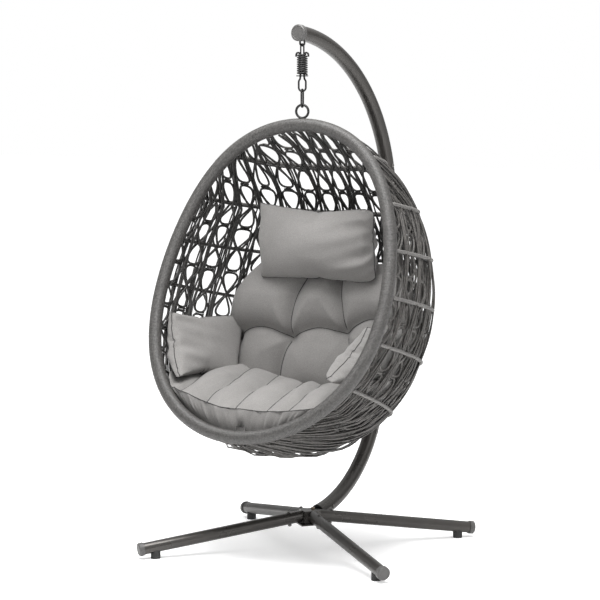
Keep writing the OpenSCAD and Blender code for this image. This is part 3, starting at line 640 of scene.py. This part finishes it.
def arc(p, q, rise=0.0, side=0.0):
    """Points from p to q that bulge by rise in y and by side in x."""
    s = np.linspace(0, 1, 24)[:, None]
    return np.array(p) * (1 - s) + np.array(q) * s + np.array([side, rise]) * np.sin(math.pi * s)


def near(x, y, line):
    """Distance from each x, y to a line of points."""
    d = np.full(np.shape(x), 9.0)
    for a, b in zip(line[:-1], line[1:]):
        ab = b - a
        s = np.clip(((x - a[0]) * ab[0] + (y - a[1]) * ab[1]) / (ab @ ab), 0, 1)
        d = np.minimum(d, np.hypot(x - a[0] - s * ab[0], y - a[1] - s * ab[1]))
    return d


def creased(hollow, x, y, lines, depth, width, blunt=.0025):
    """hollow, deepened along lines by sewn creases: sharp in their middle, with full panels beside them."""
    for line in lines:
        d = near(x, y, line)
        crease = depth * np.exp(-(np.sqrt(d * d + blunt * blunt) - blunt) / width)
        hollow = np.maximum(hollow, crease)
    return hollow


def on_grid(g, w, h, line):
    """Points of a grid under a line drawn on the flat cloth."""
    i = np.clip((line[:, 1] / h + .5) * (g.shape[0] - 1), 0, g.shape[0] - 1.001)
    j = np.clip((line[:, 0] / w + .5) * (g.shape[1] - 1), 0, g.shape[1] - 1.001)
    a, b = i.astype(int), j.astype(int)
    s, t = (i - a)[:, None], (j - b)[:, None]
    low = g[a, b] * (1 - t) + g[a, b + 1] * t
    high = g[a + 1, b] * (1 - t) + g[a + 1, b + 1] * t
    return low * (1 - s) + high * s


def border(g):
    """The sewn edge of a case, all the way round."""
    return np.concatenate([g[0], g[1:, -1], g[-1, -2::-1], g[-2::-1, 0]])


def puckers(a, b, reach, folds, seed):
    """Folds that run out from the end a = -1 of a case and die away within reach."""
    start = np.random.default_rng(seed).uniform(0, 6.28, 3)
    s = np.clip((a + 1) / reach, 0, None)
    wave = np.sin(folds * b + start[0])
    wave = wave + .6 * np.sin(1.7 * folds * b + start[1] + 2 * s)
    wave = wave + .4 * np.sin(.6 * folds * b + start[2])
    return wave * np.exp(-s) * np.clip(s * 6, 0, 1)


def soft(name, front, back, node, seams, fill=.7):
    """A padded piece from its grids, with fine dark cords along its seams in a piece of their own; the cords
    are painted shade in the seams and creases.
    """
    ob = new_mesh(name, *case_mesh(front, back))
    dress(ob, M_FABRIC, "basket", "cushion_fabric", node)
    # dark cords along the seams: painted crease shade
    cord = tubes(name.replace("soft", "seams"), seams, SEAM_R)
    dress(cord, M_CREASE_SHADE, "basket", "cushion_fabric")


def headrest():
    """Upright, its ends a little forward of its middle, gathered at its right end."""
    w, h = .52, .28
    middle_x, middle_y, middle_z = .008, HUB_Y + .05, 1.143
    bow, tilt, taper = .25, .05, .2     # its ends and its top come forward, and its top is thinner
    fold_depth, shrunk, droop = .011, .16, .010
    front, back = fitted(*inflate(w, h, 84, 47), w, .285, .19, .6)
    x, y = rest_grid(front, w, h)
    a, b = 2 * x / w, 2 * y / h
    gathered = 1 - shrunk * np.exp(-(1 - a) / .10)
    grids = []
    for g in (front, back):
        fold = fold_depth * puckers(-a, b, .34, 10, 3) * np.clip(g[..., 2] / .03, -1, 1)
        thick = g[..., 2] * (1 - taper * b)
        corners = droop * (2 * g[..., 0] / w) ** 2
        grids.append(np.stack([g[..., 0] + middle_x,
                               middle_y - bow * g[..., 0] ** 2 - tilt * g[..., 1] - thick - fold,
                               middle_z + g[..., 1] * gathered + corners], -1))
    soft("headrest_soft", *grids, "headrest_pillow", [border(grids[0])])


def back_cushion():
    """Four tufts in a row, seams up and down through the middle ones, creases from tuft to tuft."""
    w, h = .90, .54
    middle_z, widest_z, widest = .815, .84, .437    # widest is half the finished width, at widest_z
    crease_depth, crease_width = .046, .034
    tuft_depth, tuft_x, tuft_y = .022, .028, .024
    fold_length, fold_depth, fold_width = .06, .02, .012
    front, back = fitted(*inflate(w, h, 92, 55, 9, .12), w, h, .22, .8)
    x, y = rest_grid(front, w, h)
    tufts = [np.array([tx, -.011 + .1 * tx]) for tx in (-.355, -.105, .108, .33)]
    seams = []
    for s, t in ((-1, tufts[1]), (1, tufts[2])):
        seams.append(arc(t, (t[0] + .004, h / 2 - .03), side=-.008 * s))
        seams.append(arc(t, (t[0] + s * .095, -h / 2 + .02), side=s * .022))
    for p, q, rise in ((0, 1, .036), (1, 2, .020), (3, 2, .036)):
        seams.append(arc(tufts[p], tufts[q], rise))
    hollow = creased(np.zeros_like(x), x, y, seams, crease_depth, crease_width)
    for t in tufts:
        hollow += tuft_depth * np.exp(-(((x - t[0]) / tuft_x) ** 2 + ((y - t[1]) / tuft_y) ** 2))
    # short folds pulled towards the tufts
    folds = []
    for k, turn in ((0, 200), (0, 150), (1, 235), (1, 30), (2, 205), (2, 150), (3, 30)):
        towards = np.array([math.cos(math.radians(turn)), math.sin(math.radians(turn))])
        folds.append(arc(tufts[k], tufts[k] + fold_length * towards))
    hollow = creased(hollow, x, y, folds, fold_depth, fold_width)
    grids = []
    for g, pressed in ((front, 1), (back, 0)):
        z = middle_z + g[..., 1]
        # its half-width follows the wall; it bends forward below, at its sides, and back at its top
        above = np.clip((z - widest_z) / .30, 0, 1)
        below = np.clip((widest_z - z) / .30, 0, 1)
        narrow = .62 * above ** 2.2 + .2 * below ** 1.6
        across = 2 * g[..., 0] / w
        bent = .105 - .03 * across ** 2
        bent = bent - .06 * np.clip((.78 - z) / .20, 0, 2) ** 1.3 + .02 * np.clip((z - .95) / .1, 0, 1)
        full = np.clip(np.abs(g[..., 2]) / .06, 0, 1) ** .7
        grids.append(np.stack([across * widest * (1 - narrow),
                               HUB_Y + bent - g[..., 2] + pressed * hollow * full,
                               z], -1))
    soft("back_cushion_soft", *grids, "back_cushion", [on_grid(grids[0], w, h, s[1:]) for s in seams])


def arm_pillows():
    """They lean on the side walls, gathered at the rim. The right one is the mirrored case, and fuller."""
    w, h = .42, .29
    top_v, rim_phi, turned = .74, 178.5, 42     # where its top edge and rim end lie, and how far it reaches
    middle = np.array([.05, HUB_Y - .1, .88])
    front, back = fitted(*inflate(w, h, 70, 48), w, h, .15, .4)
    x, y = rest_grid(front, w, h)
    a, b = 2 * x / w, 2 * y / h
    for side, extra, slope in (("left", 0, .275), ("right", .12, .26)):
        grids = []
        for g, face in ((front, 1), (back, -1)):
            near_rim = g[..., 0] / w + .5
            down = .5 - g[..., 1] / h
            wall = shell(top_v - .06 * near_rim + slope * down, rim_phi - turned * near_rim)
            full = (np.abs(g[..., 2]) / .075) ** .5
            half = .044 + .008 * near_rim + .014 * down
            rise = .004 + half * (1 + face * full * (1 if face > 0 else .9))
            rise = rise + face * .008 * puckers(a, b, .45, 9, 5) * full
            rise = rise + extra * (.4 + .6 * down) * (1 + face * full) / 2
            grids.append(wall + unit(middle - wall) * rise[..., None])
        if side == "right":
            grids = [g[:, ::-1] * [-1, 1, 1] for g in grids]
        soft(side + "_arm_soft", *grids, side + "_arm_pillow", [border(grids[0])])


def floor_height(x, y):
    """Height of the basket's woven floor under each x, y."""
    v, phi = np.meshgrid(np.linspace(.5, RIM_H - .0006, 90), np.linspace(0, 180, 120), indexing="ij")
    points = [tuple(p) for p in shell(v, phi).reshape(-1, 3)]
    ids = np.arange(v.size).reshape(v.shape)
    quads = np.stack([ids[:-1, :-1], ids[1:, :-1], ids[1:, 1:], ids[:-1, 1:]], -1).reshape(-1, 4).tolist()
    wall = BVHTree.FromPolygons(points, quads)
    down = Vector((0, 0, -1))
    hits = [wall.ray_cast(Vector((p, q, 1.0)), down)[0] for p, q in zip(x.ravel(), y.ravel())]
    return np.array([hit.z if hit else .5 for hit in hits]).reshape(x.shape)


def seat_cushion():
    """A boxed case laid in plan on the basket's floor, with a front wall and seams from front to back."""
    w, h = .90, .60
    half_x, half_y, middle_y = .437, .275, -.158
    wall_from = .84             # share of the case's front half that lies on top; the rest is the wall
    top_z, gap = .628, .014     # gap is the space between the case and the woven floor
    seam_width = seam_depth = .030
    pleat_depth = .0016
    front, back = fitted(*inflate(w, h, 96, 64, 9, .1), w, h, .2, .9)
    x, y = rest_grid(front, w, h)
    a, b = 2 * x / w, 2 * y / h
    front_edge = -h / 2 * wall_from
    starts = (-.31, -.17, -.05, .08, .165, .28)
    seams = [arc((s, front_edge), (s - .13, h / 2 * .7), side=.02) for s in starts]
    edge = np.array([(p, front_edge) for p in np.linspace(-.36, .36, 40)])
    hollow = creased(np.zeros_like(x), x, y, seams, seam_depth, seam_width)

    # m runs from 0 at the case's middle to 1 at its border; the front is a wall, the other sides are rounded
    m = (np.abs(a) ** 7 + np.abs(b) ** 7) ** (1 / 7)
    front_share = np.abs(b) ** 7 / (m ** 7 + 1e-9) * (b < 0)
    from_m = .95 - (.95 - wall_from) * front_share
    wall = np.clip((m - from_m) / (1 - from_m), 0, 1)
    on_top = wall == 0
    bulge = 1 + .02 * np.sin(wall * math.pi) - .05 * wall ** 3
    reach = np.where(on_top, m / from_m, bulge) / np.maximum(m, 1e-6)
    plan_x = a * np.sqrt(1 - b * b * .30) * reach * half_x
    plan_y = middle_y + b * np.sqrt(1 - a * a * .25) * reach * half_y

    # the top stands higher at its sides, most at -X, and slopes down at the front and to both ends
    low = floor_height(plan_x, HUB_Y + plan_y) + gap
    top = top_z + .03 * np.clip((-plan_x - .10) / .15, 0, 1) + .012 * np.clip((plan_x - .10) / .15, 0, 1)
    top -= .045 * np.clip((-.17 - plan_y) / .26, 0, 1) ** 1.5
    end = np.clip((np.abs(a) - .75) / .25, 0, 1)
    shoulder = (1 - end) * np.clip((np.abs(a) - .5) / .25, 0, 1)
    top = np.maximum(top + .012 * shoulder - .012 * end ** 2, low + .02)

    # lobes between the seams on top, fine pleats in the wall
    dome = np.clip(1 - (m / from_m) ** 4, 0, 1)
    detail = .25 * (front[..., 2] - .1 * np.clip(1 - m ** 3, 0, 1)) * on_top
    z = np.where(on_top, top + .02 * dome + detail, top + (low + .004 - top) * wall)
    z = z - hollow * (.35 + .65 * np.clip(dome * 2, 0, 1)) * on_top * np.clip(1.1 - b, 0, 1)
    start = np.random.default_rng(11).uniform(0, 6.28, 3)
    pleat = np.sin(46 * a + start[0]) + .7 * np.sin(83 * a + start[1]) + .5 * np.sin(131 * a + start[2])
    at_front = b < -.5
    pulled = hollow * .3 * np.sin(np.clip(wall + .2, 0, 1) * math.pi) * ~on_top
    front_y = plan_y - pleat_depth * pleat * np.sin(wall * math.pi) * at_front + pulled * at_front
    upper = np.stack([plan_x, HUB_Y + front_y, z], -1)
    lower = np.stack([plan_x, HUB_Y + plan_y, low + .004], -1)
    soft("seat_cushion_soft", upper, lower, "seat_cushion",
         [on_grid(upper, w, h, line) for line in seams + [edge]])


headrest()
back_cushion()
arm_pillows()
seat_cushion()

# ---------------------------------------------------------------- spring
# round wire in the imported coil's place: it stands on the swing bar's plate
COIL_TURNS = 9
COIL_R = .003                   # radius of the wire
COIL_CLOSING = .0015            # how much tighter the last turn is
CLOSING_TURNS = 2
coil_low, coil_high = (np.array(p, float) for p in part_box("spring_coil"))
coil_x, coil_y = (coil_low[:2] + coil_high[:2]) / 2
turns = np.linspace(0, COIL_TURNS, COIL_TURNS * 32 + 1)
closing = np.clip((turns - COIL_TURNS + CLOSING_TURNS) / CLOSING_TURNS, 0, 1)
coil_mean = (coil_high[0] - coil_low[0]) / 2 - COIL_R - COIL_CLOSING * closing
rise = coil_high[2] - coil_low[2] - 2 * COIL_R
coil = np.stack([coil_x + coil_mean * np.cos(TURN * turns),
                 coil_y + coil_mean * np.sin(TURN * turns),
                 coil_low[2] + COIL_R + rise * turns / COIL_TURNS], -1)
spring = tubes("spring_coil_wire", [coil], COIL_R, 12)
spring.data.materials.append(M_DARK)
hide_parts("spring_coil")
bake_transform(spring)

# ---------------------------------------------------------------- floor, sky, lights, camera
floor_material, _, _, floor_bsdf = material("floor", (.95, .95, .95), .7)
floor_bsdf.inputs["Emission Color"].default_value = (1, 1, 1, 1)
floor_bsdf.inputs["Emission Strength"].default_value = .24
bpy.ops.mesh.primitive_plane_add(size=60, location=(0, 0, 0))
floor = bpy.context.object
floor.name = "floor"
floor.data.materials.append(floor_material)

# the sky lights the chair from above and is plain white behind it
world = bpy.data.worlds.new("studio")
bpy.context.scene.world = world
world.use_nodes = True
nodes, links = world.node_tree.nodes, world.node_tree.links
direction = nodes.new("ShaderNodeTexCoord")
parts = nodes.new("ShaderNodeSeparateXYZ")
links.new(direction.outputs["Generated"], parts.inputs[0])
height = nodes.new("ShaderNodeMath")
height.operation = "MULTIPLY_ADD"
height.inputs[1].default_value = height.inputs[2].default_value = .5
links.new(parts.outputs["Z"], height.inputs[0])
light = [(place, (value,) * 3) for place, value in ((0, .16), (.45, .22), (.75, .75), (1, 1.4))]
sky = nodes["Background"]
links.new(ramp(nodes, links, height.outputs[0], *light), sky.inputs[0])
white = nodes.new("ShaderNodeBackground")
white.inputs[0].default_value = (1, 1, 1, 1)
ray = nodes.new("ShaderNodeLightPath")
seen = nodes.new("ShaderNodeMixShader")
links.new(ray.outputs["Is Camera Ray"], seen.inputs[0])
links.new(sky.outputs[0], seen.inputs[1])
links.new(white.outputs[0], seen.inputs[2])
links.new(seen.outputs[0], nodes["World Output"].inputs["Surface"])


def area(name, place, at, side, power):
    """A square light that faces the point at."""
    data = bpy.data.lights.new(name, "AREA")
    data.shape = "RECTANGLE"
    data.size = data.size_y = side
    data.energy = power
    lamp = bpy.data.objects.new(name, data)
    lamp.location = place
    lamp.rotation_euler = (Vector(at) - Vector(place)).to_track_quat("-Z", "Y").to_euler()
    bpy.context.collection.objects.link(lamp)


area("key", (-1.5, -4.5, 4.5), (0, 0, .8), 2.5, 32)
area("side", (5, -1.5, 2.5), (0, 0, .9), 2, 28)
area("top", (0.5, -1.2, 5), (0, 0, .5), 3, 390)

# the camera stands to the left of the chair's front and a little above it, and looks past the chair's middle
AZIMUTH, ELEVATION = math.radians(35.5), math.radians(5.704)
DISTANCE = 8.4515
AIM_Z, AIM_ASIDE = .9395, -.0374
camera_data = bpy.data.cameras.new("camera")
camera_data.sensor_width = 36
camera_data.lens = 135.74
camera = bpy.data.objects.new("camera", camera_data)
across = Vector((math.cos(AZIMUTH), math.sin(AZIMUTH), 0))
look = Vector((-math.sin(AZIMUTH) * math.cos(ELEVATION), math.cos(AZIMUTH) * math.cos(ELEVATION),
               -math.sin(ELEVATION)))
camera.location = Vector((0, HUB_Y, AIM_Z)) + across * AIM_ASIDE - look * DISTANCE
camera.rotation_euler = look.to_track_quat("-Z", "Y").to_euler()
bpy.context.collection.objects.link(camera)
bpy.context.scene.camera = camera
bpy.context.scene.view_settings.view_transform = "Standard"
